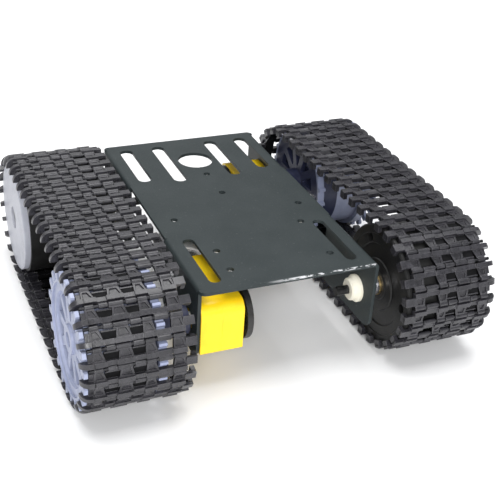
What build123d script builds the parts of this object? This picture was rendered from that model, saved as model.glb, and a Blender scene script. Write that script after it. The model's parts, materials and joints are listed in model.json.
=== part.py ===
from build123d import *
from math import acos, asin, cos, degrees, pi, radians, sin, sqrt, tan
import copy
import os

# Tracked chassis for a small robot: a bent sheet plate, two geared motors,
# two driven sprockets, two idler wheels and two plastic link tracks.
# X runs across, Y along with the front at -Y, Z up.
# The origin is on the floor under the middle. Units are millimetres.
# The left side is modelled and turned half a turn about Z for the right side,
# so the left sprocket is at the front and the right sprocket at the rear.

# Track
PITCH = 8.05
WHEEL_LINKS = 22
RUN_LINKS = 13
HINGE_R = PITCH / (2 * sin(pi / WHEEL_LINKS))
AXLE_Y = RUN_LINKS * PITCH / 2
BAR_TOP = 1.6
AXLE_Z = HINGE_R + BAR_TOP
KNUCKLE_R = 1.15
PIN_R = 0.70
PIN_BORE_R = 0.77
PEG_OUT = 92.05
BAR_OUT = 87.00
TAB_OUT = 50.30
TAB_IN = 46.30

# Plate
SHEET = 1.5
PLATE_TOP = 49.6
PLATE_HALF_W = 40.0
PLATE_FRONT = -65.5
PLATE_REAR = 75.5
FLANGE_DROP = 33.0
FLANGE_SETBACK = 2.8
GAP_FRONT = -20.0
GAP_REAR = 31.0
CORNER_R = 2.8
FLANGE_CORNER_R = 4.5
SLOT_W = 6.5
FRONT_SLOT_W = 5.2
SMALL_HOLE_R = 1.6
CENTRE_HOLE_R = 8.5

# Gearbox and motor
GB_THICK = 18.8
GB_HEIGHT = 22.4
GB_LENGTH = 40.2
GB_FRONT = 11.3
GB_X = -(PLATE_HALF_W - SHEET - GB_THICK / 2)
SIDE_WALL = 1.4
EDGE_WALL = 1.1
SHAFT_R = 2.7
SHAFT_FLAT = 1.85
FIXING_BACK = 20.7
FIXING_UP = 8.75
MOTOR_H = 20.1
MOTOR_T = 15.4
MOTOR_LEN = 25.0

# Gears
PRESSURE = radians(20)
MODULE_OUT = 0.6
MODULE_MID = 0.5
MODULE_CROWN = 0.4
TOOTH_SHARE = 0.47
STEP_OUT = MODULE_OUT * 20
STEP_MID = MODULE_MID * 20

# Wheels
LAND_R = 26.4
BARREL_R = 24.26
TOOTH_TIP_R = 28.1
OUTER_TOOTH_AT = 6.3
INNER_TOOTH_AT = 5.1
DISC_R = 25.0
FLANGE_R = 27.1
WINDOWS = 10
SPOKE_W = 4.0
SPOKE_FROM = 8.6
SPOKE_TO = 18.2

os.makedirs("parts", exist_ok=True)


def save_pair(shape, name):
    export_step(shape, "parts/left_" + name + ".step")
    export_step(Rot(0, 0, 180) * shape, "parts/right_" + name + ".step")


def block(x0, x1, y0, y1, z0, z1):
    mid = Pos((x0 + x1) / 2, (y0 + y1) / 2, (z0 + z1) / 2)
    return mid * Box(abs(x1 - x0), abs(y1 - y0), abs(z1 - z0))


def rod_x(r, x0, x1, y=0.0, z=0.0):
    return Pos((x0 + x1) / 2, y, z) * Rot(0, 90, 0) * Cylinder(r, abs(x1 - x0))


def rod_y(r, y0, y1, x=0.0, z=0.0):
    return Pos(x, (y0 + y1) / 2, z) * Rot(90, 0, 0) * Cylinder(r, abs(y1 - y0))


def prism_x(points, x0, x1):
    low = min(x0, x1)
    face = make_face(Polyline(*[(low, y, z) for y, z in points], close=True))
    return extrude(face, amount=abs(x1 - x0), dir=(1, 0, 0))


def prism_z(points, z0, z1):
    face = make_face(Polyline(*[(x, y, z0) for x, y in points], close=True))
    return extrude(face, amount=z1 - z0, dir=(0, 0, 1))


def turned(points):
    face = make_face(Polyline(*[(x, r, 0) for x, r in points], close=True))
    return revolve(face, Axis.X, 360)


def hexagon_x(across, x0, x1, y=0.0, z=0.0):
    r = across / sqrt(3)
    corners = [(y + r * cos(pi * k / 3), z + r * sin(pi * k / 3)) for k in range(6)]
    return prism_x(corners, x0, x1)


def screw_x(x_top, x_seat, x_tip, head_r, shank_r, socket, y=0.0, z=0.0):
    # A screw along X: head from x_top to x_seat, shank on to x_tip.
    body = rod_x(head_r, x_top, x_seat, y, z) + rod_x(shank_r, x_seat, x_tip, y, z)
    depth = 0.55 * (x_seat - x_top)
    return body - hexagon_x(socket, x_top, x_top + depth, y, z)


def involute(angle):
    return tan(angle) - angle


def gear_points(teeth, module, tip, root, phase=0.0):
    pitch_r = teeth * module / 2
    base_r = pitch_r * cos(PRESSURE)
    half = TOOTH_SHARE * pi * module / (2 * pitch_r)
    levels = [root, tip]
    if teeth < 12:
        levels = [root, base_r, (base_r + tip) / 2, tip]
    spread = []
    for r in levels:
        at = acos(min(1.0, base_r / r))
        spread.append(half + involute(PRESSURE) - involute(at))
    points = []
    for k in range(teeth):
        mid = phase + 2 * pi * k / teeth
        for r, s in zip(levels, spread):
            points.append((r * cos(mid - s), r * sin(mid - s)))
        for r, s in zip(reversed(levels), reversed(spread)):
            points.append((r * cos(mid + s), r * sin(mid + s)))
    return points


def ring_window(r0, r1, rib, count, k, x0, x1):
    # An opening between two ribs of constant width in a disc.
    a0 = asin(rib / 2 / r0)
    a1 = asin(rib / 2 / r1)
    start = 2 * pi * k / count
    end = start + 2 * pi / count
    mid = (start + end) / 2

    def at(r, a):
        return (min(x0, x1), r * cos(a), r * sin(a))

    edge = [
        Line(at(r0, start + a0), at(r1, start + a1)),
        ThreePointArc(at(r1, start + a1), at(r1, mid), at(r1, end - a1)),
        Line(at(r1, end - a1), at(r0, end - a0)),
        ThreePointArc(at(r0, end - a0), at(r0, mid), at(r0, start + a0)),
    ]
    return extrude(make_face(edge), amount=abs(x1 - x0), dir=(1, 0, 0))


# ------------------------------------------------------------------ plate


def flange(side, y0, y1):
    # The bend and the flange under one edge of the plate.
    outer = 2.0
    inner = outer - SHEET
    w = PLATE_HALF_W
    top = PLATE_TOP
    low = PLATE_TOP - FLANGE_DROP
    mid = sqrt(0.5)
    xc = w - outer
    zc = top - outer
    edge = [
        Line((36, y0, top), (xc, y0, top)),
        ThreePointArc((xc, y0, top), (xc + outer * mid, y0, zc + outer * mid), (w, y0, zc)),
        Line((w, y0, zc), (w, y0, low)),
        Line((w, y0, low), (w - SHEET, y0, low)),
        Line((w - SHEET, y0, low), (w - SHEET, y0, zc)),
        ThreePointArc((w - SHEET, y0, zc), (xc + inner * mid, y0, zc + inner * mid), (xc, y0, top - SHEET)),
        Line((xc, y0, top - SHEET), (36, y0, top - SHEET)),
        Line((36, y0, top - SHEET), (36, y0, top)),
    ]
    strip = extrude(make_face(edge), amount=y1 - y0, dir=(0, 1, 0))
    r = FLANGE_CORNER_R
    m = r * (1 - mid)
    side_edge = [
        Line((30, y0, top + 1), (30, y0, low + r)),
        ThreePointArc((30, y0, low + r), (30, y0 + m, low + m), (30, y0 + r, low)),
        Line((30, y0 + r, low), (30, y1 - r, low)),
        ThreePointArc((30, y1 - r, low), (30, y1 - m, low + m), (30, y1, low + r)),
        Line((30, y1, low + r), (30, y1, top + 1)),
        Line((30, y1, top + 1), (30, y0, top + 1)),
    ]
    strip = strip & extrude(make_face(side_edge), amount=20, dir=(1, 0, 0))
    if side < 0:
        strip = mirror(strip, about=Plane.YZ)
    return strip


def corner(side, y_edge, inward):
    # A rounded plate corner beyond the end of a flange.
    y_in = y_edge + inward * CORNER_R
    piece = block(side * 36, side * PLATE_HALF_W, min(y_edge, y_in), max(y_edge, y_in),
                  PLATE_TOP - SHEET, PLATE_TOP)
    disc = Pos(side * (PLATE_HALF_W - CORNER_R), y_in, PLATE_TOP - SHEET / 2) * Cylinder(CORNER_R, SHEET)
    keep = block(side * 36, side * (PLATE_HALF_W - CORNER_R), min(y_edge, y_in), max(y_edge, y_in),
                 PLATE_TOP - SHEET, PLATE_TOP)
    return keep + (piece & disc)


def slot(x, y0, y1, width):
    r = width / 2
    z0 = PLATE_TOP - SHEET - 1
    z1 = PLATE_TOP + 1
    cut = block(x - r, x + r, y0 + r, y1 - r, z0, z1)
    for y in (y0 + r, y1 - r):
        cut += Pos(x, y, (z0 + z1) / 2) * Cylinder(r, z1 - z0)
    return cut


low_z = PLATE_TOP - SHEET
plate = block(-36, 36, PLATE_FRONT, PLATE_REAR, low_z, PLATE_TOP)
plate += block(-39.3, 39.3, GAP_FRONT, GAP_REAR, low_z, PLATE_TOP)
plate += flange(-1, PLATE_FRONT + FLANGE_SETBACK, GAP_FRONT)
plate += flange(1, PLATE_FRONT, GAP_FRONT)
plate += flange(-1, GAP_REAR, PLATE_REAR - FLANGE_SETBACK)
plate += flange(1, GAP_REAR, PLATE_REAR - FLANGE_SETBACK)
plate += corner(-1, PLATE_FRONT, 1)
plate += corner(-1, PLATE_REAR, -1)
plate += corner(1, PLATE_REAR, -1)

for x in (-30.4, 30.4):
    plate -= slot(x, 33.8, 69.8, SLOT_W)
for x in (-30.8, 30.8):
    plate -= slot(x, -59.2, -23.2, FRONT_SLOT_W)
for x in (-14.0, 14.0):
    plate -= slot(x, 29.9, 70.0, SLOT_W)

small_holes = [
    (-30.3, -5.5), (30.3, -5.5), (-22.0, -35.9), (-22.0, -51.5),
    (23.8, -51.2), (23.8, -22.1), (0.0, 13.8), (0.0, 34.1),
]
for x, y in small_holes:
    plate -= Pos(x, y, PLATE_TOP) * Cylinder(SMALL_HOLE_R, 6)
plate -= Pos(0, 50.3, PLATE_TOP) * Cylinder(CENTRE_HOLE_R, 6)

for turn in (0, 180):
    cuts = rod_x(5.0, -42, -37, -AXLE_Y, AXLE_Z)
    cuts += rod_x(2.1, -42, -37, AXLE_Y, AXLE_Z)
    for up in (-FIXING_UP, FIXING_UP):
        cuts += rod_x(1.6, -42, -37, -AXLE_Y + FIXING_BACK, AXLE_Z + up)
    plate -= Rot(0, 0, turn) * cuts
export_step(plate, "parts/chassis_plate.step")


# ------------------------------------------------------------------ track

# Each T plate: bottom and top ends in X of its stem, one side upright, one slanted.
T_STEMS = [
    ((-87.20, -82.20), (-87.05, -83.80)),
    ((-77.30, -71.20), (-76.60, -72.40)),
    ((-66.80, -61.80), (-66.40, -63.20)),
    ((-55.80, -50.60), (-55.40, -51.40)),
]
UPPER_KNUCKLES = [(-87.05, -83.60), (-77.90, -72.20), (-66.60, -62.90), (-55.60, -50.70)]
LOWER_KNUCKLES = [(-81.70, -78.20), (-71.30, -67.10), (-61.90, -56.40)]
BAR_FROM = 1.25
BAR_TO = 3.30
RIM = 0.40
RECESS = -0.20
WEB = -0.50
EDGE_X = -88.90
LUG = -2.80
WEB_END = PITCH - 1.45


def bar_end():
    # The outer end of the bar: its crest falls away into a lug on the inner side.
    outline = [(-86.9, -0.6), (-86.9, BAR_TOP)]
    for k in range(13):
        a = radians(90 * k / 12)
        outline.append((-88.0 - (PEG_OUT - 88.0) * sin(a), LUG + (BAR_TOP - LUG) * cos(a)))
    outline += [(-88.6, LUG), (-88.6, -0.6)]
    face = make_face(Polyline(*[(x, BAR_FROM, z) for x, z in outline], close=True))
    return extrude(face, amount=BAR_TO - BAR_FROM, dir=(0, 1, 0))


def track_link():
    # Local frame: X across, Y from the lower hinge to the upper one, Z outward.
    body = bar_end()
    pieces = [block(-BAR_OUT - 0.2, -TAB_OUT - 0.2, BAR_FROM, BAR_TO, -1.15, BAR_TOP)]
    for bottom, top in T_STEMS:
        outline = [(bottom[0], BAR_TO - 0.3), (bottom[1], BAR_TO - 0.3), (top[1], PITCH), (top[0], PITCH)]
        pieces.append(prism_z(outline, -1.15, RIM))
    for x0, x1 in UPPER_KNUCKLES:
        pieces.append(rod_x(KNUCKLE_R, x0, x1, PITCH, 0))
        pieces.append(block(x0, x1, PITCH - 1.35, PITCH, -KNUCKLE_R, RIM))
    for x0, x1 in LOWER_KNUCKLES:
        pieces.append(rod_x(KNUCKLE_R, x0, x1, 0, 0))
        pieces.append(block(x0, x1, 0, BAR_FROM + 0.3, -KNUCKLE_R, 0.8))
    pieces.append(block(-82.6, -76.9, BAR_TO - 0.3, WEB_END, -1.1, WEB))
    pieces.append(block(-71.6, -66.4, BAR_TO - 0.3, WEB_END, -1.1, WEB))
    pieces.append(block(EDGE_X, -86.8, BAR_TO - 0.3, WEB_END - 0.15, -1.1, -0.4))
    pieces.append(block(-TAB_OUT - 0.6, -TAB_IN, BAR_TO - 0.2, WEB_END, -0.6, 0.9))
    pieces.append(block(-48.2, -TAB_IN, BAR_TO - 0.2, WEB_END, LUG, 0.0))
    body = body + pieces
    cuts = []
    for x0, x1 in LOWER_KNUCKLES:
        cuts.append(block(x0 - 0.1, x1 + 0.1, BAR_FROM - 0.5, BAR_TO + 0.5, 0.8, 3))
    for bottom, top in T_STEMS:
        pocket = [
            (bottom[0] + 0.75, BAR_TO + 0.45), (bottom[1] - 0.75, BAR_TO + 0.45),
            (top[1] - 0.70, PITCH - 1.5), (top[0] + 0.70, PITCH - 1.5),
        ]
        cuts.append(prism_z(pocket, RECESS, 3))
    cuts.append(rod_x(PIN_BORE_R, -87.3, -50.4, PITCH, 0))
    cuts.append(rod_x(PIN_BORE_R, -82.0, -56.0, 0, 0))
    return body - cuts


def loop_places():
    # The hinge angle and position of every link, starting under the front wheel.
    places = []
    step = 360 / WHEEL_LINKS
    half = WHEEL_LINKS // 2
    for k in range(half):
        a = radians(-90 - k * step)
        tilt = 180 - step / 2 - k * step
        places.append((-AXLE_Y + HINGE_R * cos(a), AXLE_Z + HINGE_R * sin(a), tilt))
    for k in range(RUN_LINKS):
        places.append((-AXLE_Y + PITCH * k, AXLE_Z + HINGE_R, 0))
    for k in range(half):
        a = radians(90 - k * step)
        tilt = -step / 2 - k * step
        places.append((AXLE_Y + HINGE_R * cos(a), AXLE_Z + HINGE_R * sin(a), tilt))
    for k in range(RUN_LINKS):
        places.append((AXLE_Y - PITCH * k, AXLE_Z - HINGE_R, 180))
    return places


def save_chain(shape, name):
    # The same piece at every place of the loop, on both sides.
    for side, turn in (("left_", 0), ("right_", 180)):
        copies = []
        for y, z, tilt in loop_places():
            piece = copy.copy(shape)
            piece.locate(Rot(0, 0, turn) * Pos(0, y, z) * Rot(tilt, 0, 0) * shape.location)
            copies.append(piece)
        export_step(Compound(children=copies), "parts/" + side + name + ".step")


save_chain(track_link().solid(), "track_links")
save_chain(rod_x(PIN_R, -89.1, -50.6).solid(), "track_pins")


# ------------------------------------------------------------------ gearbox

# Positions along Y are measured from the front face of the gearbox.
FRONT_Y = -AXLE_Y - GB_FRONT
OUT_AT = GB_FRONT
MID_AT = OUT_AT + STEP_OUT
CROWN_AT = MID_AT + STEP_MID
GB_HALF = GB_THICK / 2
INNER = GB_HALF - SIDE_WALL


def gb(shape):
    # Gearbox parts are drawn with X outboard negative from its middle plane.
    return Pos(GB_X, FRONT_Y, AXLE_Z) * shape


def case_outline(inset, x0, x1, back):
    h = GB_HEIGHT / 2 - inset
    big = 5.0 - inset
    mid = 1 - sqrt(0.5)
    y0 = inset
    low = min(x0, x1)
    edge = [
        Line((low, y0, -h), (low, back, -h)),
        Line((low, back, -h), (low, back, h)),
        Line((low, back, h), (low, y0 + big, h)),
        ThreePointArc((low, y0 + big, h), (low, y0 + big * mid, h - big * mid), (low, y0, h - big)),
        Line((low, y0, h - big), (low, y0, -h)),
    ]
    return extrude(make_face(edge), amount=abs(x1 - x0), dir=(1, 0, 0))


def case_half(x_wall, x_open):
    inward = 1 if x_open > x_wall else -1
    shell = case_outline(0, x_wall, x_open, GB_LENGTH)
    cavity = case_outline(EDGE_WALL, x_wall + inward * SIDE_WALL, x_open + inward, GB_LENGTH - 1.2)
    half = shell - cavity
    posts = []
    for up in (-FIXING_UP, FIXING_UP):
        posts.append(rod_x(2.7, x_wall, x_open, GB_FRONT + FIXING_BACK, up))
    posts.append(rod_x(1.5, x_wall, x_open, 2.9, -8.5))
    posts.append(rod_x(1.5, x_wall, x_open, 3.2, 8.2))
    half = half + [post & shell for post in posts]
    cuts = [rod_y(3.2, GB_LENGTH - 3, GB_LENGTH + 1)]
    cuts.append(rod_x(SHAFT_R + 0.08, x_wall - 2 * inward, x_open, OUT_AT, 0))
    for up in (-FIXING_UP, FIXING_UP):
        cuts.append(rod_x(1.6, x_wall - inward, x_open + inward, GB_FRONT + FIXING_BACK, up))
    for at in (MID_AT, CROWN_AT):
        cuts.append(rod_x(0.84, x_wall + inward * 0.4, x_open, at, 0))
    return half, cuts


base, cuts = case_half(-GB_HALF, 0.0)
for y, z in ((2.9, -8.5), (3.2, 8.2)):
    cuts.append(rod_x(0.75, -GB_HALF + 1.0, 1.0, y, z))
base = base - cuts
cover, cuts = case_half(GB_HALF, 0.0)
for y, z in ((2.9, -8.5), (3.2, 8.2)):
    cuts.append(rod_x(0.85, -1.0, GB_HALF + 1.0, y, z))
    cuts.append(rod_x(1.45, GB_HALF - 1.2, GB_HALF + 1.0, y, z))
cover = cover - cuts
save_pair(gb(base.solid()), "gearbox_base")
save_pair(gb(cover.solid()), "gearbox_cover")

case_screws = []
for y, z in ((2.9, -8.5), (3.2, 8.2)):
    screw = rod_x(1.35, GB_HALF - 1.1, GB_HALF - 0.1, y, z) + rod_x(0.7, -5.0, GB_HALF - 1.1, y, z)
    screw = screw - block(GB_HALF - 0.5, GB_HALF, y - 2, y + 2, z - 0.2, z + 0.2)
    case_screws.append(gb(screw.solid()))
save_pair(Compound(case_screws), "gearbox_screws")

gear_pins = []
for at in (MID_AT, CROWN_AT):
    gear_pins.append(gb(rod_x(0.8, -GB_HALF + 0.5, GB_HALF - 0.5, at, 0).solid()))
save_pair(Compound(gear_pins), "gear_pins")

# Output gear, 32 teeth, on the double ended shaft with a flat on both sides.
SHAFT_OUT = -48.6 - GB_X
SHAFT_IN = -13.0 - GB_X
out_gear = prism_x(gear_points(32, MODULE_OUT, 9.9, 8.94, pi / 32), -2.6, 0.2)
shaft = rod_x(SHAFT_R, SHAFT_OUT, SHAFT_IN) + rod_x(3.3, -INNER + 0.1, INNER - 0.1)
for sign in (-1, 1):
    z0 = sign * SHAFT_FLAT
    shaft = shaft - block(SHAFT_OUT - 1, -GB_HALF - 0.6, -4, 4, z0, z0 + sign * 3)
    shaft = shaft - block(GB_HALF + 0.4, SHAFT_IN + 1, -4, 4, z0, z0 + sign * 3)
shaft = shaft - rod_x(1.15, SHAFT_OUT - 1, SHAFT_OUT + 7.5)
output = Pos(0, OUT_AT, 0) * (out_gear + shaft)
save_pair(gb(output.solid()), "output_shaft")

# Reduction gear: 32 teeth driven, 8 teeth driving the output gear.
wheel = prism_x(gear_points(32, MODULE_MID, 8.25, 7.45, pi / 32), -5.6, -3.2)
small = prism_x(gear_points(8, MODULE_OUT, 2.88, 1.95), -3.2, 0.4)
hub = rod_x(1.9, -INNER + 0.1, -5.6) + rod_x(1.9, 0.4, INNER - 0.1)
reduction = Pos(0, MID_AT, 0) * (wheel + small + hub - rod_x(0.86, -10, 10))
save_pair(gb(reduction.solid()), "reduction_gear")

# Crown gear: 24 face teeth driven by the motor pinion, 8 teeth on its hub.
CROWN_PITCH_X = -4 * MODULE_CROWN
teeth = []
for k in range(24):
    a = 15 * k + 7.5
    low = (-CROWN_PITCH_X + 0.35)
    outline = [(-low, -0.27), (CROWN_PITCH_X + 0.2, -0.14), (CROWN_PITCH_X + 0.2, 0.14), (-low, 0.27)]
    face = make_face(Polyline(*[(x, 4.2, z) for x, z in outline], close=True))
    teeth.append(Rot(a, 0, 0) * extrude(face, amount=1.0, dir=(0, 1, 0)))
crown = rod_x(5.2, CROWN_PITCH_X - 1.3, CROWN_PITCH_X - 0.3)
crown = crown + teeth
small = prism_x(gear_points(8, MODULE_MID, 2.40, 1.65), -5.8, CROWN_PITCH_X - 1.2)
hub = rod_x(1.6, -INNER + 0.1, -5.8) + rod_x(1.6, CROWN_PITCH_X - 0.4, INNER - 0.1)
crown = Pos(0, CROWN_AT, 0) * (crown + small + hub - rod_x(0.86, -10, 10))
save_pair(gb(crown.solid()), "crown_gear")

# Motor pinion on the rotor shaft, along Y.
pinion_face = gear_points(8, MODULE_CROWN, 1.8, 1.25, pi)
pinion = make_face(Polyline(*[(x, 0, z) for x, z in pinion_face], close=True))
pinion = Pos(0, 37.3, 0) * extrude(pinion, amount=1.8, dir=(0, 1, 0)) - rod_y(0.81, 36, 40)
save_pair(gb(pinion.solid()), "motor_pinion")


def can_body(inset, y0, y1):
    round_part = rod_y(MOTOR_H / 2 - inset, y0, y1)
    flat = MOTOR_T / 2 - inset
    return round_part & block(-flat, flat, y0, y1, -20, 20)


CAN_AT = GB_LENGTH
CAN_END = CAN_AT + MOTOR_LEN
can = can_body(0, CAN_AT, CAN_END) - can_body(0.8, CAN_AT + 0.8, CAN_END + 1)
can = can + rod_y(3.0, CAN_AT - 0.9, CAN_AT + 0.9) - rod_y(1.06, CAN_AT - 2, CAN_AT + 2)
save_pair(gb(can.solid()), "motor_can")

cap = can_body(0, CAN_END, CAN_END + 2.2) + can_body(0.9, CAN_END - 1.6, CAN_END)
cap = cap + rod_y(3.2, CAN_END + 2.2, CAN_END + 3.4)
cap = cap - rod_y(1.06, CAN_END - 3, CAN_END + 2.6)
for up in (-5.6, 5.6):
    cap = cap - block(-1.3, 1.3, CAN_END - 3, CAN_END + 4, up - 0.35, up + 0.35)
save_pair(gb(cap.solid()), "motor_end_cap")

strap = can_body(-1.0, CAN_AT + 8, CAN_AT + 15) - can_body(-0.05, CAN_AT + 7, CAN_AT + 16)
save_pair(gb(strap.solid()), "motor_strap")

terminals = []
for up in (-5.6, 5.6):
    tab = block(-1.2, 1.2, CAN_END - 2.4, CAN_END + 4.6, up - 0.25, up + 0.25)
    tab = tab - Pos(0, CAN_END + 3.4, up) * Cylinder(0.6, 3)
    terminals.append(gb(tab.solid()))
save_pair(Compound(terminals), "motor_terminals")

rotor = rod_y(1.0, 39.2, CAN_END + 2.4) + rod_y(0.8, 37.2, 39.4)
core = rod_y(6.3, CAN_AT + 5, CAN_AT + 17) - rod_y(4.3, CAN_AT + 4, CAN_AT + 7)
core = core - rod_y(4.3, CAN_AT + 15, CAN_AT + 18)
for k in range(3):
    core = core - Rot(0, 120 * k, 0) * block(2.2, 7, CAN_AT + 4, CAN_AT + 18, -0.7, 0.7)
rotor = rotor + core + rod_y(2.4, CAN_AT + 7, CAN_AT + 15) + rod_y(2.6, CAN_AT + 17.4, CAN_AT + 21)
save_pair(gb(rotor.solid()), "motor_rotor")

# Screws through flange and gearbox, with nuts on the inner side.
screws = []
nuts = []
face_in = GB_X + GB_HALF
for up in (-FIXING_UP, FIXING_UP):
    y = -AXLE_Y + FIXING_BACK
    z = AXLE_Z + up
    screws.append(screw_x(-42.4, -40.0, face_in + 3.6, 2.75, 1.5, 2.5, y, z).solid())
    nut = hexagon_x(5.5, face_in, face_in + 2.4, y, z) - rod_x(1.53, face_in - 1, face_in + 3, y, z)
    nuts.append(nut.solid())
save_pair(Compound(screws), "motor_screws")
save_pair(Compound(nuts), "motor_nuts")

# Slotted encoder disc on the inner end of the output shaft.
disc = rod_x(12.5, -18.4, -15.8) + rod_x(4.6, -18.9, -14.6)
disc = disc - rod_x(11.6, -16.6, -15.0) + rod_x(4.6, -18.9, -14.6)
for k in range(20):
    disc = disc - Rot(18 * k, 0, 0) * block(-20, -14, 7.6, 10.9, -0.6, 0.6)
flats = rod_x(SHAFT_R + 0.04, -20, -12) & block(-20, -12, -4, 4, -SHAFT_FLAT - 0.04, SHAFT_FLAT + 0.04)
disc = Pos(0, -AXLE_Y, AXLE_Z) * (disc - flats)
save_pair(disc.solid(), "encoder_disc")


# ------------------------------------------------------------------ sprocket

JOIN_X = -70.0
BOSS_AT = 20.6
BOSS_R = 2.2
BOSS_ANGLES = [0, 108, 252]
CHORD = 180 / WHEEL_LINKS


def sprocket_at(shape):
    return Pos(0, -AXLE_Y, AXLE_Z) * shape


def wheel_teeth(base_half, tip_half, root, tip, along, x0, x1):
    # Teeth stand a little past the middle of each link, toward the upper hinge.
    shapes = []
    lean = degrees(asin((along - PITCH / 2) / (HINGE_R * cos(radians(CHORD)))))
    outline = [
        (root, -base_half), (tip - 0.8, -tip_half - 0.15), (tip, -tip_half + 0.3),
        (tip, tip_half - 0.3), (tip - 0.8, tip_half + 0.15), (root, base_half),
    ]
    for k in range(WHEEL_LINKS):
        angle = 90 - CHORD - lean + k * 360 / WHEEL_LINKS
        shapes.append(Rot(angle, 0, 0) * prism_x(outline, x0, x1))
    return shapes


outer = turned([
    (-90.9, 23.0), (-90.9, BARREL_R - 0.3), (-90.6, BARREL_R), (-88.5, BARREL_R), (-88.5, LAND_R),
    (-83.5, LAND_R), (-83.5, BARREL_R), (JOIN_X, BARREL_R), (JOIN_X, 22.6), (-86.6, 22.6),
    (-86.6, 6.4), (-66.0, 6.4), (-66.0, 3.2), (-90.0, 3.2), (-90.0, 6.2), (-88.8, 6.4),
    (-88.8, 19.2), (-90.0, 19.6), (-90.0, 23.0),
])
outer = outer + wheel_teeth(1.75, 1.45, 23.6, TOOTH_TIP_R + 0.15, OUTER_TOOTH_AT, -90.9, -89.3)
bosses = []
holes = []
for a in BOSS_ANGLES:
    bosses.append(Rot(a, 0, 0) * rod_x(BOSS_R, -87.0, JOIN_X, BOSS_AT, 0))
    holes.append(Rot(a, 0, 0) * rod_x(1.05, -80.0, JOIN_X + 1, BOSS_AT, 0))
outer = outer + bosses - holes
for k in range(WINDOWS):
    outer = outer - ring_window(SPOKE_FROM, SPOKE_TO, SPOKE_W, WINDOWS, k, -92, -86)
save_pair(sprocket_at(outer).solid(), "sprocket_outer")

inner = turned([
    (JOIN_X, BARREL_R), (-61.3, BARREL_R), (-61.3, LAND_R), (-57.9, LAND_R), (-57.9, 6.4),
    (-41.2, 6.4), (-41.2, 3.2), (-66.0, 3.2), (-66.0, 6.4), (-60.3, 6.4), (-60.3, 22.6), (JOIN_X, 22.6),
])
inner = inner + rod_x(4.0, -52.0, -41.2)
inner = inner + wheel_teeth(1.25, 0.85, 25.5, 28.0, INNER_TOOTH_AT, -61.3, -57.9)
bosses = []
holes = []
for a in BOSS_ANGLES:
    bosses.append(Rot(a, 0, 0) * rod_x(BOSS_R, -59.5, JOIN_X, BOSS_AT, 0))
    holes.append(Rot(a, 0, 0) * rod_x(1.1, -56.0, JOIN_X - 1, BOSS_AT, 0))
inner = inner + bosses - holes
for k in range(WINDOWS):
    inner = inner - ring_window(SPOKE_FROM, SPOKE_TO, SPOKE_W, WINDOWS, k, -62, -57)
flats = rod_x(SHAFT_R + 0.04, -50, -40) & block(-50, -40, -4, 4, -SHAFT_FLAT - 0.04, SHAFT_FLAT + 0.04)
inner = inner - flats - rod_x(1.3, -53, -49)
save_pair(sprocket_at(inner).solid(), "sprocket_inner")

joiners = []
for a in BOSS_ANGLES:
    screw = rod_x(2.0, -57.9, -56.5, BOSS_AT, 0) + rod_x(1.0, -78.0, -57.9, BOSS_AT, 0)
    screw = screw - hexagon_x(1.8, -57.2, -56.0, BOSS_AT, 0)
    joiners.append(sprocket_at(Rot(a, 0, 0) * screw).solid())
save_pair(Compound(joiners), "sprocket_screws")

hub_screw = screw_x(-53.8, -52.0, -42.4, 2.4, 1.1, 2.0)
save_pair(sprocket_at(hub_screw).solid(), "hub_screw")


# ------------------------------------------------------------------ idler

def idler_at(shape):
    return Pos(0, AXLE_Y, AXLE_Z) * shape


BORE_R = 3.5
BOLT_R = 2.0
DISC_IN = -87.4
FIX_AT = 21.0
outer = turned([
    (-90.2, 5.2), (-90.2, DISC_R - 0.4), (-89.9, DISC_R), (DISC_IN, DISC_R), (DISC_IN, 6.5),
    (-76.0, 6.5), (-76.0, BORE_R), (-85.2, BORE_R), (-85.2, 5.2),
])
inner = turned([
    (-48.4, BORE_R), (-48.4, 6.6), (-48.8, 7.0), (-48.8, 11.5), (-49.4, 12.0), (-49.4, 18.5),
    (-48.8, 19.0), (-48.8, 23.0), (-48.4, 23.4), (-48.4, FLANGE_R - 0.6), (-49.0, FLANGE_R),
    (-50.2, FLANGE_R), (-50.2, LAND_R - 0.2), (DISC_IN, LAND_R - 0.2), (DISC_IN, 24.4), (-51.4, 24.4),
    (-51.4, 6.5), (-66.0, 6.5), (-66.0, BORE_R),
])
outer_bosses = []
inner_bosses = []
outer_holes = []
inner_holes = []
for a in (0, 120, 240):
    outer_bosses.append(Rot(a, 0, 0) * rod_x(2.6, -88.0, -84.45, FIX_AT, 0))
    inner_bosses.append(Rot(a, 0, 0) * rod_x(3.6, -50.8, -84.4, FIX_AT, 0))
    outer_holes.append(Rot(a, 0, 0) * rod_x(1.05, -89.0, -84.0, FIX_AT, 0))
    inner_holes.append(Rot(a, 0, 0) * rod_x(1.1, -40.0, -86.0, FIX_AT, 0))
    inner_holes.append(Rot(a, 0, 0) * rod_x(2.1, -40.0, -81.0, FIX_AT, 0))
outer = outer + outer_bosses - outer_holes
inner = inner + inner_bosses - inner_holes
save_pair(idler_at(outer).solid(), "idler_outer")
save_pair(idler_at(inner).solid(), "idler_inner")

joiners = []
for a in (0, 120, 240):
    screw = rod_x(1.9, -81.0, -79.6, FIX_AT, 0) + rod_x(1.0, -88.6, -81.0, FIX_AT, 0)
    screw = screw - hexagon_x(1.8, -80.4, -79.0, FIX_AT, 0)
    joiners.append(idler_at(Rot(a, 0, 0) * screw).solid())
save_pair(Compound(joiners), "idler_screws")

bushings = []
for x_face, sign in ((-48.4, -1), (-85.2, 1)):
    bush = rod_x(4.6, x_face, x_face - sign * 0.8) + rod_x(BORE_R - 0.02, x_face, x_face + sign * 8)
    bush = bush - rod_x(BOLT_R + 0.06, -92, -40)
    bushings.append(idler_at(bush).solid())
save_pair(Compound(bushings), "idler_bushings")

bolt = screw_x(-89.2, -86.2, -28.0, 3.5, BOLT_R, 3.0)
save_pair(idler_at(bolt).solid(), "idler_bolt")

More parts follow.
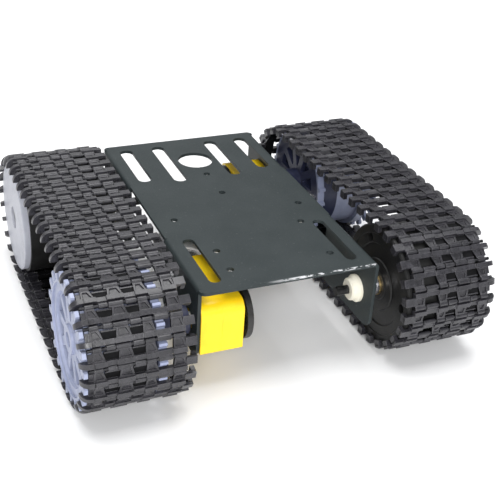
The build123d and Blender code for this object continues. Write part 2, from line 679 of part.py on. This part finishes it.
# Round flanged lock nut inside the flange, plain nut outside it.
lock_nut = turned([
    (-38.5, 2.03), (-38.5, 6.2), (-37.2, 6.2), (-36.2, 5.2), (-34.6, 5.0), (-34.0, 4.2), (-34.0, 2.03),
])
jam_nut = hexagon_x(7.0, -43.6, -40.8) - rod_x(2.03, -45, -39)
save_pair(Compound([idler_at(lock_nut).solid(), idler_at(jam_nut).solid()]), "idler_nuts")

rings = []
for r, x0, x1 in ((4.5, -40.8, -40.0), (4.0, -46.6, -43.6), (4.5, -47.5, -46.6)):
    rings.append(idler_at(rod_x(r, x0, x1) - rod_x(2.06, x0 - 1, x1 + 1)).solid())
save_pair(Compound(rings), "idler_washers")
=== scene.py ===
import json
import math

import bmesh
import bpy
from mathutils import Matrix, Vector


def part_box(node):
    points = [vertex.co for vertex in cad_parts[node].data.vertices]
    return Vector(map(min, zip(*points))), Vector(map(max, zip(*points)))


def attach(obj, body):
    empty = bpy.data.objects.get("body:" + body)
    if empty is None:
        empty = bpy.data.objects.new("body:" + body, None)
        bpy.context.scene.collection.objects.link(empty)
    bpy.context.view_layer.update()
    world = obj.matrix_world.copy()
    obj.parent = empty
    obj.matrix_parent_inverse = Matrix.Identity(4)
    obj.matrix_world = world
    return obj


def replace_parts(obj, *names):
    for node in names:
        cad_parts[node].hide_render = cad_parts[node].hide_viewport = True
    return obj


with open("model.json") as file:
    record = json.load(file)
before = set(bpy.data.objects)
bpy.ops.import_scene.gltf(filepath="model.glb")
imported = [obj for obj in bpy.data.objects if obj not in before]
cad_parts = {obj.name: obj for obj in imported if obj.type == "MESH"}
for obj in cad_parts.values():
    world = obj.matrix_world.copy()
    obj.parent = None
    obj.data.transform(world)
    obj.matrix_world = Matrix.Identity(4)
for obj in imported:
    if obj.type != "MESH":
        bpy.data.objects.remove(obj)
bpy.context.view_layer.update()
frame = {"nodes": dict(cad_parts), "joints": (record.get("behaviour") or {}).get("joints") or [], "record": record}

MM = 0.001
record = frame["record"]
joints = {j["name"]: j for j in frame["joints"]}
nodes = frame["nodes"]


# ---------------------------------------------------------------- camera

CAMERA_PLACE = (-0.1618, -0.3708, 0.2617)
CAMERA_YAW = 0.434
CAMERA_PITCH = 0.526
CAMERA_ROLL = 0.072
CAMERA_LENS = 72.0


def make_camera(place, yaw, pitch, roll, lens):
    # Angles in radians: yaw from +Y towards +X, pitch downwards, roll to the left.
    ahead = Vector((math.sin(yaw) * math.cos(pitch), math.cos(yaw) * math.cos(pitch), -math.sin(pitch)))
    right = ahead.cross(Vector((0, 0, 1))).normalized()
    up = right.cross(ahead)
    c, s = math.cos(roll), math.sin(roll)
    x_axis = c * right + s * up
    y_axis = -s * right + c * up
    data = bpy.data.cameras.new("photo_camera")
    data.sensor_width = 36
    data.lens = lens
    data.clip_start = 0.01
    data.clip_end = 20
    cam = bpy.data.objects.new("photo_camera", data)
    bpy.context.scene.collection.objects.link(cam)
    turn = Matrix((x_axis, y_axis, -ahead)).transposed().to_4x4()
    cam.matrix_world = Matrix.Translation(place) @ turn
    bpy.context.scene.camera = cam


make_camera(Vector(CAMERA_PLACE), CAMERA_YAW, CAMERA_PITCH, CAMERA_ROLL, CAMERA_LENS)
bpy.context.scene.view_settings.view_transform = "Standard"


# ---------------------------------------------------------------- materials

class Nodes:
    # A small helper round one material's node tree.
    def __init__(self, name):
        self.mat = bpy.data.materials.new(name)
        self.mat.use_nodes = True
        self.tree = self.mat.node_tree
        self.shader = self.tree.nodes["Principled BSDF"]
        self.coord = self.tree.nodes.new("ShaderNodeTexCoord").outputs["Object"]

    def add(self, kind, **values):
        node = self.tree.nodes.new(kind)
        for key, value in values.items():
            setattr(node, key, value)
        return node

    def link(self, a, b):
        self.tree.links.new(a, b)

    def noise(self, scale, detail=3.0, rough=0.55, coord=None):
        node = self.add("ShaderNodeTexNoise")
        node.inputs["Scale"].default_value = scale
        node.inputs["Detail"].default_value = detail
        node.inputs["Roughness"].default_value = rough
        self.link(coord or self.coord, node.inputs["Vector"])
        return node.outputs["Fac"]

    def ramp(self, source, low, high, a=0.0, b=1.0):
        node = self.add("ShaderNodeMapRange")
        node.inputs["From Min"].default_value = low
        node.inputs["From Max"].default_value = high
        node.inputs["To Min"].default_value = a
        node.inputs["To Max"].default_value = b
        self.link(source, node.inputs["Value"])
        return node.outputs["Result"]

    def math(self, op, a, b):
        node = self.add("ShaderNodeMath", operation=op)
        for socket, value in zip(node.inputs, (a, b)):
            if isinstance(value, (int, float)):
                socket.default_value = value
            else:
                self.link(value, socket)
        return node.outputs[0]

    def mix(self, factor, a, b):
        node = self.add("ShaderNodeMix", data_type="RGBA")
        self.link(factor, node.inputs["Factor"])
        for socket, value in ((node.inputs["A"], a), (node.inputs["B"], b)):
            if isinstance(value, tuple):
                socket.default_value = (*value, 1.0)
            else:
                self.link(value, socket)
        return node.outputs["Result"]

    def surface(self, grain, strength, distance, round_edge):
        # Fine grain over softly rounded edges.
        bump = self.add("ShaderNodeBump")
        bump.inputs["Strength"].default_value = strength
        bump.inputs["Distance"].default_value = distance
        self.link(grain, bump.inputs["Height"])
        if round_edge:
            edge = self.add("ShaderNodeBevel", samples=4)
            edge.inputs["Radius"].default_value = round_edge
            self.link(edge.outputs["Normal"], bump.inputs["Normal"])
        self.link(bump.outputs["Normal"], self.shader.inputs["Normal"])


def plastic(name, base, lighter, rough, grain=2600, bump=0.25, edge=0.00018, patch=140, spec=0.5):
    # Two close tones in soft patches, with a grain that moves both the gloss and the surface.
    n = Nodes(name)
    tone = n.ramp(n.noise(patch), 0.35, 0.65)
    n.link(n.mix(tone, base, lighter), n.shader.inputs["Base Color"])
    fine = n.noise(grain, 2.0, 0.6)
    n.link(n.ramp(fine, 0.3, 0.7, rough - 0.1, rough + 0.1), n.shader.inputs["Roughness"])
    n.shader.inputs["Specular IOR Level"].default_value = spec
    n.surface(fine, bump, 0.00006, edge)
    return n


def metal(name, base, lighter, rough, grain=1800, bump=0.12, edge=0.00015, amount=1.0):
    n = plastic(name, base, lighter, rough, grain, bump, edge)
    n.shader.inputs["Metallic"].default_value = amount
    return n


def track_plastic():
    # Charcoal moulding with a satin grain; its edges are painted lighter, partly wear and partly painted
    # highlight.
    charcoal, lighter = (0.013, 0.0127, 0.016), (0.030, 0.029, 0.035)
    n = plastic("track_plastic", charcoal, lighter, 0.34, 1500, 0.8, 0.0002, 260, 0.60)
    base = n.shader.inputs["Base Color"].links[0].from_socket
    edge = n.add("ShaderNodeBevel", samples=4)
    edge.inputs["Radius"].default_value = 0.00016
    geometry = n.add("ShaderNodeNewGeometry")
    dot = n.add("ShaderNodeVectorMath", operation="DOT_PRODUCT")
    n.link(edge.outputs["Normal"], dot.inputs[0])
    n.link(geometry.outputs["Normal"], dot.inputs[1])
    # Painted highlight with wear: where the bevel normal turns away from the face, the colour is mixed towards
    # light grey.
    n.link(n.mix(n.ramp(dot.outputs["Value"], 0.97, 0.80, 0.0, 0.6), base, (0.24, 0.235, 0.255)),
           n.shader.inputs["Base Color"])
    return n


def painted_shade_inner_wheel():
    # The same moulding, its web painted dark navy as painted shade; only the rim near the teeth keeps the
    # plastic's own light colour.
    n = plastic("painted_shade_inner_wheel", (0.016, 0.020, 0.050), (0.028, 0.033, 0.07), 0.42, 2000, 0.2, 0.00025)
    dark = n.shader.inputs["Base Color"].links[0].from_socket
    split = n.add("ShaderNodeSeparateXYZ")
    n.link(n.coord, split.inputs[0])
    axle = joints["left_sprocket_spin"]["pos_m"]
    along = n.math("SUBTRACT", n.math("ABSOLUTE", split.outputs["Y"], 0.0), abs(axle[1]))
    height = n.math("SUBTRACT", split.outputs["Z"], axle[2])
    squares = n.math("ADD", n.math("MULTIPLY", along, along), n.math("MULTIPLY", height, height))
    far = n.math("SQRT", squares, 0.0)
    # Painted shade: dark navy inside the rim radius, the plastic's own light blue beyond it.
    n.link(n.mix(n.ramp(far, 0.0248, 0.0254), dark, (0.26, 0.29, 0.42)), n.shader.inputs["Base Color"])
    return n


def deck_paint():
    # Matte slate coat, faint mottling, bare metal where the front edge has been knocked.
    n = Nodes("deck_paint")
    low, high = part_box("chassis_plate")
    tone = n.ramp(n.noise(60, 4.0), 0.35, 0.65)
    coat = n.mix(tone, (0.019, 0.026, 0.0275), (0.025, 0.0325, 0.034))
    speck = n.ramp(n.noise(900, 2.0), 0.68, 0.74)
    coat = n.mix(n.math("MULTIPLY", speck, 0.25), coat, (0.16, 0.17, 0.17))
    split = n.add("ShaderNodeSeparateXYZ")
    n.link(n.coord, split.inputs[0])
    x, y, z = split.outputs
    near_front = n.ramp(y, low.y + 0.0009, low.y + 0.0002)
    near_top = n.ramp(z, high.z - 0.0010, high.z - 0.0003)
    along = n.ramp(x, -0.012, 0.004)
    stretched = n.add("ShaderNodeMapping")
    stretched.inputs["Scale"].default_value = (1.0, 1.0, 4.0)
    n.link(n.coord, stretched.inputs["Vector"])
    patchy = n.ramp(n.noise(170, 5.0, 0.65, stretched.outputs[0]), 0.47, 0.53)
    worn = n.math("MULTIPLY", n.math("MULTIPLY", near_front, near_top), n.math("MULTIPLY", along, patchy))
    n.link(n.mix(worn, coat, (0.75, 0.76, 0.78)), n.shader.inputs["Base Color"])
    n.link(n.math("MULTIPLY", worn, 0.9), n.shader.inputs["Metallic"])
    fine = n.noise(3200, 2.0)
    n.link(n.ramp(fine, 0.3, 0.7, 0.42, 0.58), n.shader.inputs["Roughness"])
    n.shader.inputs["Specular IOR Level"].default_value = 0.28
    n.surface(fine, 0.22, 0.00005, 0.00025)
    return n


paints = {
    "plate": deck_paint(),
    "track": track_plastic(),
    "track_pin": metal("track_pin_steel", (0.03, 0.03, 0.033), (0.06, 0.06, 0.064), 0.45),
    "housing": plastic("yellow_housing", (0.93, 0.60, 0.006), (0.98, 0.68, 0.010), 0.36, 2200, 0.15, 0.0003),
    "can": metal("motor_can_plated", (0.55, 0.55, 0.57), (0.68, 0.68, 0.70), 0.28),
    "cap": plastic("end_cap_plastic", (0.75, 0.74, 0.70), (0.82, 0.81, 0.77), 0.45),
    "strap": plastic("strap_plastic", (0.72, 0.72, 0.70), (0.80, 0.80, 0.78), 0.30),
    "terminal": metal("terminal_metal", (0.75, 0.50, 0.30), (0.82, 0.58, 0.36), 0.30),
    "rotor": metal("rotor_core", (0.25, 0.24, 0.24), (0.36, 0.35, 0.34), 0.50),
    "pinion": metal("pinion_brass", (0.72, 0.55, 0.24), (0.82, 0.64, 0.32), 0.28),
    "gear": plastic("gear_nylon", (0.80, 0.79, 0.74), (0.88, 0.87, 0.82), 0.42),
    "steel": metal("fixing_steel", (0.45, 0.45, 0.47), (0.60, 0.60, 0.62), 0.30),
    "encoder": plastic("encoder_black", (0.008, 0.008, 0.008), (0.016, 0.015, 0.014), 0.35),
    "sprocket": plastic("sprocket_plastic", (0.26, 0.29, 0.41), (0.32, 0.35, 0.48), 0.42, 2000, 0.2, 0.00025),
    "idler": plastic("idler_plastic", (0.33, 0.34, 0.39), (0.39, 0.40, 0.45), 0.42, 2000, 0.2, 0.0003),
    "idler_back": plastic("idler_back_plastic", (0.006, 0.006, 0.006), (0.012, 0.012, 0.012), 0.42, spec=0.3),
    "bushing": metal("bushing_bronze", (0.55, 0.40, 0.18), (0.66, 0.50, 0.25), 0.38),
    "dark_bolt": metal("black_bolt", (0.03, 0.03, 0.03), (0.06, 0.06, 0.06), 0.35),
    "nylon": plastic("cream_nylon", (0.72, 0.68, 0.55), (0.80, 0.77, 0.66), 0.35),
}
shaded_inner_wheel = painted_shade_inner_wheel()
# Near-black matte material for the faces between the T plates: painted shade in the recesses.
painted_shade_recess = plastic(
    "painted_shade_recess", (0.003, 0.003, 0.0035), (0.007, 0.007, 0.008), 0.7, 1500, 0.5, spec=0.12
)
for entry in record["subparts"]:
    mesh = nodes[entry["node"]].data
    mesh.materials.clear()
    # The inner sprocket halves get the painted-shade material instead of their plain plastic.
    paint = shaded_inner_wheel if entry["node"].endswith("sprocket_inner") else paints[entry["material_slot"]]
    mesh.materials.append(paint.mat)


# ---------------------------------------------------------------- track links

# Local frame of a link, in millimetres: X across, Y from the lower hinge to the upper one, Z outward.
SHARP_ANGLE = 0.6
PITCH = 8.05
WHEEL_LINKS = 22
RUN_LINKS = 13
HINGE_R = PITCH / (2 * math.sin(math.pi / WHEEL_LINKS))
AXLE_Y = abs(joints["left_sprocket_spin"]["pos_m"][1]) / MM
AXLE_Z = joints["left_sprocket_spin"]["pos_m"][2] / MM


def solid(bm, rings):
    # A closed skin over a list of rings with the same number of corners.
    loops = [[bm.verts.new(p) for p in ring] for ring in rings]
    faces = []
    count = len(loops[0])
    for a, b in zip(loops, loops[1:]):
        for i in range(count):
            j = (i + 1) % count
            faces.append(bm.faces.new((a[i], a[j], b[j], b[i])))
    faces.append(bm.faces.new(tuple(reversed(loops[0]))))
    faces.append(bm.faces.new(tuple(loops[-1])))
    return faces


def rounded(bm, faces, width):
    edges = list({e for f in faces for e in f.edges})
    sharp = [e for e in edges if e.calc_face_angle(0) > SHARP_ANGLE]
    bmesh.ops.bevel(bm, geom=sharp, offset=width, segments=2, profile=0.6, affect="EDGES", clamp_overlap=True)


def prism(bm, outline, z0, z1, width, taper=0.0):
    # An upright block with rounded edges, its top drawn in by taper.
    cx = sum(p[0] for p in outline) / len(outline)
    cy = sum(p[1] for p in outline) / len(outline)
    top = []
    for x, y in outline:
        away = Vector((x - cx, y - cy))
        pull = taper * away.normalized() if taper else Vector((0, 0))
        top.append((x - pull.x, y - pull.y, z1))
    low = [(x, y, z0) for x, y in outline]
    rounded(bm, solid(bm, [low, top]), width)


def rect(x0, x1, y0, y1):
    return [(x0, y0), (x1, y0), (x1, y1), (x0, y1)]


def inset(outline, side, bottom, top):
    (ax, ay), (bx, by), (cx, cy), (dx, dy) = outline
    return [(ax + side, ay + bottom), (bx - side, by + bottom), (cx - side, cy - top), (dx + side, dy - top)]


def framed_plate(bm, outline, z0, rim, floor, side, bottom, top):
    # A plate with a raised rim round a recessed middle.
    inner = inset(outline, side, bottom, top)
    deep = inset(outline, side + 0.22, bottom + 0.22, top + 0.22)
    rings = [
        [(x, y, z0) for x, y in outline],
        [(x, y, rim) for x, y in outline],
        [(x, y, rim) for x, y in inner],
        [(x, y, floor) for x, y in deep],
    ]
    rounded(bm, solid(bm, rings), 0.14)


def knuckle(bm, x0, x1, y):
    # A hinge barrel along X with a small chamfer at each end.
    angles = [2 * math.pi * i / KNUCKLE_CORNERS for i in range(KNUCKLE_CORNERS)]
    rings = []
    for x, k in ((x0, 0.86), (x0 + 0.15, 1.0), (x1 - 0.15, 1.0), (x1, 0.86)):
        r = KNUCKLE_R * k
        rings.append([(x, y + r * math.cos(a), r * math.sin(a)) for a in angles])
    solid(bm, rings)


T_STEMS = [
    ((-87.20, -82.20), (-87.05, -83.80)),
    ((-77.30, -71.20), (-76.60, -72.40)),
    ((-66.80, -61.80), (-66.40, -63.20)),
    ((-55.80, -50.60), (-55.40, -51.40)),
]
UPPER = [(-87.05, -83.60), (-77.90, -72.20), (-66.60, -62.90), (-55.60, -50.70)]
LOWER = [(-81.70, -78.20), (-71.30, -67.10), (-61.90, -56.40)]
BAR_FROM, BAR_TO, BAR_TOP = 1.27, 3.28, 1.58
PEG_OUT = 92.0
RIM, RECESS, WEB = 0.40, -0.25, -0.50
LUG = -2.77
WEB_END = PITCH - 1.47
STEM_END = PITCH - 0.1
KNUCKLE_R = 1.13
KNUCKLE_CORNERS = 20
CREST_AT = -88.0
CREST_STEPS = 10
HIGH_BLOCKS = [(-87.1, -81.9), (-78.1, -71.4), (-67.0, -62.0), (-56.3, -50.5)]
WEBS = [(-82.6, -76.9), (-71.6, -66.4)]
# Bounds of the link faces that get the painted-shade material.
SHADE_BELOW, SHADE_FROM, SHADE_TO = -0.3, -84, -52


def bar_end(bm):
    # The outer end of the bar: its crest falls away into a lug on the inner side.
    outline = [(-86.6, -0.58), (-86.6, BAR_TOP)]
    for k in range(CREST_STEPS + 1):
        a = math.radians(90 * k / CREST_STEPS)
        outline.append((CREST_AT - (PEG_OUT + CREST_AT) * math.sin(a), LUG + (BAR_TOP - LUG) * math.cos(a)))
    outline += [(-88.65, LUG), (-88.65, -0.58)]
    rings = [[(x, y, z) for x, z in outline] for y in (BAR_FROM, BAR_TO)]
    rounded(bm, solid(bm, rings), 0.17)


def link_mesh():
    bm = bmesh.new()
    bar_end(bm)
    # The bar: high blocks over the T plates, a lower one between them.
    for x0, x1 in HIGH_BLOCKS:
        prism(bm, rect(x0, x1, BAR_FROM, BAR_TO), -1.12, BAR_TOP, 0.17, 0.06)
    prism(bm, rect(-87.0, -50.6, BAR_FROM + 0.08, BAR_TO - 0.03), -1.1, 0.85, 0.12)
    for (bottom, top), (x0, x1) in zip(T_STEMS, UPPER):
        outline = [(bottom[0], 3.0), (bottom[1], 3.0), (top[1], STEM_END), (top[0], STEM_END)]
        framed_plate(bm, outline, -1.1, RIM, RECESS, 0.72, 0.75, 1.4)
        prism(bm, rect(x0, x1, PITCH - 1.35, STEM_END), -1.1, RIM + 0.12, 0.10)
        knuckle(bm, x0, x1, PITCH)
    for x0, x1 in LOWER:
        knuckle(bm, x0, x1, 0)
        # Where a web ends below it, the arm stays low.
        arm_top = 0.75 if x0 > WEBS[-1][1] else 0.1
        prism(bm, rect(x0 + 0.05, x1 - 0.05, 0.0, 1.6), -1.1, arm_top, 0.12)
    for x0, x1 in WEBS:
        prism(bm, rect(x0, x1, 2.9, WEB_END), -1.08, WEB, 0.08)
        prism(bm, rect(x0, x1, WEB_END - 0.58, WEB_END), -1.08, WEB + 0.28, 0.08)
    prism(bm, rect(-88.85, -86.7, 3.0, WEB_END - 0.15), -1.08, -0.42, 0.14)
    prism(bm, rect(-50.9, -46.35, 3.12, WEB_END), -0.58, 0.88, 0.20)
    prism(bm, rect(-48.15, -46.35, 3.12, WEB_END), LUG, -0.1, 0.20)
    # The small round mark of the moulding on the low part of the bar.
    angles = [math.pi * k / 6 for k in range(12)]
    mark = [(-70.4 + 0.36 * math.cos(a), 2.25 + 0.36 * math.sin(a)) for a in angles]
    prism(bm, mark, 0.7, 0.94, 0.04)
    bmesh.ops.recalc_face_normals(bm, faces=bm.faces)
    # The faces down between the T plates get the near-black matte material as painted shade.
    for face in bm.faces:
        middle = face.calc_center_median()
        if middle.z < SHADE_BELOW and SHADE_FROM < middle.x < SHADE_TO:
            face.material_index = 1
    return bm


def loop_places():
    # The hinge position and tilt of every link, starting under the front wheel.
    places = []
    step = 360 / WHEEL_LINKS
    half = WHEEL_LINKS // 2
    for k in range(half):
        a = math.radians(-90 - k * step)
        tilt = 180 - step / 2 - k * step
        places.append((-AXLE_Y + HINGE_R * math.cos(a), AXLE_Z + HINGE_R * math.sin(a), tilt))
    for k in range(RUN_LINKS):
        places.append((-AXLE_Y + PITCH * k, AXLE_Z + HINGE_R, 0))
    for k in range(half):
        a = math.radians(90 - k * step)
        tilt = -step / 2 - k * step
        places.append((AXLE_Y + HINGE_R * math.cos(a), AXLE_Z + HINGE_R * math.sin(a), tilt))
    for k in range(RUN_LINKS):
        places.append((AXLE_Y - PITCH * k, AXLE_Z - HINGE_R, 180))
    return places


def shade(mesh):
    mesh.polygons.foreach_set("use_smooth", [True] * len(mesh.polygons))
    mesh.set_sharp_from_angle(angle=math.radians(35))


def make_track(name, turn, source):
    bm = bmesh.new()
    for y, z, tilt in loop_places():
        lean = Matrix.Rotation(math.radians(tilt), 4, "X")
        place = Matrix.Rotation(turn, 4, "Z") @ Matrix.Translation((0, y, z)) @ lean
        copy = source.copy()
        copy.transform(Matrix.Scale(MM, 4) @ place)
        bm.from_mesh(copy)
        bpy.data.meshes.remove(copy)
    mesh = bpy.data.meshes.new(name)
    bm.to_mesh(mesh)
    bm.free()
    shade(mesh)
    obj = bpy.data.objects.new(name, mesh)
    bpy.context.scene.collection.objects.link(obj)
    mesh.materials.append(paints["track"].mat)
    # The second slot holds the painted-shade material for the recesses.
    mesh.materials.append(painted_shade_recess.mat)
    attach(obj, "chassis")
    return obj


bm = link_mesh()
link = bpy.data.meshes.new("link")
bm.to_mesh(link)
bm.free()
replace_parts(make_track("left_track_detail", 0.0, link), "left_track_links")
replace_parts(make_track("right_track_detail", math.pi, link), "right_track_links")


# ---------------------------------------------------------------- floor and light

def make_floor():
    size = 6.0
    mesh = bpy.data.meshes.new("floor")
    mesh.from_pydata([(x, y, 0) for x, y in rect(-size, size, -size, size)], [], [(0, 1, 2, 3)])
    obj = bpy.data.objects.new("floor", mesh)
    bpy.context.scene.collection.objects.link(obj)
    n = Nodes("floor_pale")
    tone = n.ramp(n.noise(1.2), 0.3, 0.7)
    n.link(n.mix(tone, (0.86, 0.86, 0.87), (0.89, 0.89, 0.89)), n.shader.inputs["Base Color"])
    n.shader.inputs["Roughness"].default_value = 0.6
    mesh.materials.append(n.mat)


def area_light(name, place, target, size, power):
    data = bpy.data.lights.new(name, "AREA")
    data.shape = "RECTANGLE"
    data.size, data.size_y = size
    data.energy = power
    obj = bpy.data.objects.new(name, data)
    bpy.context.scene.collection.objects.link(obj)
    aim = (Vector(target) - Vector(place)).to_track_quat("-Z", "Y")
    obj.matrix_world = Matrix.Translation(place) @ aim.to_matrix().to_4x4()


make_floor()
area_light("top_soft", (0.0, 0.1, 1.3), (0, 0, 0.03), (1.3, 1.0), 19)
area_light("rear_soft", (-0.1, 1.5, 0.8), (0, 0, 0.03), (1.6, 0.6), 2.5)
area_light("front_soft", (-0.35, -1.3, 0.75), (0, 0, 0.03), (0.9, 0.6), 21)
world = bpy.data.worlds.new("studio")
world.use_nodes = True
world.node_tree.nodes["Background"].inputs["Color"].default_value = (0.97, 0.985, 1.0, 1.0)
world.node_tree.nodes["Background"].inputs["Strength"].default_value = 0.42
bpy.context.scene.world = world
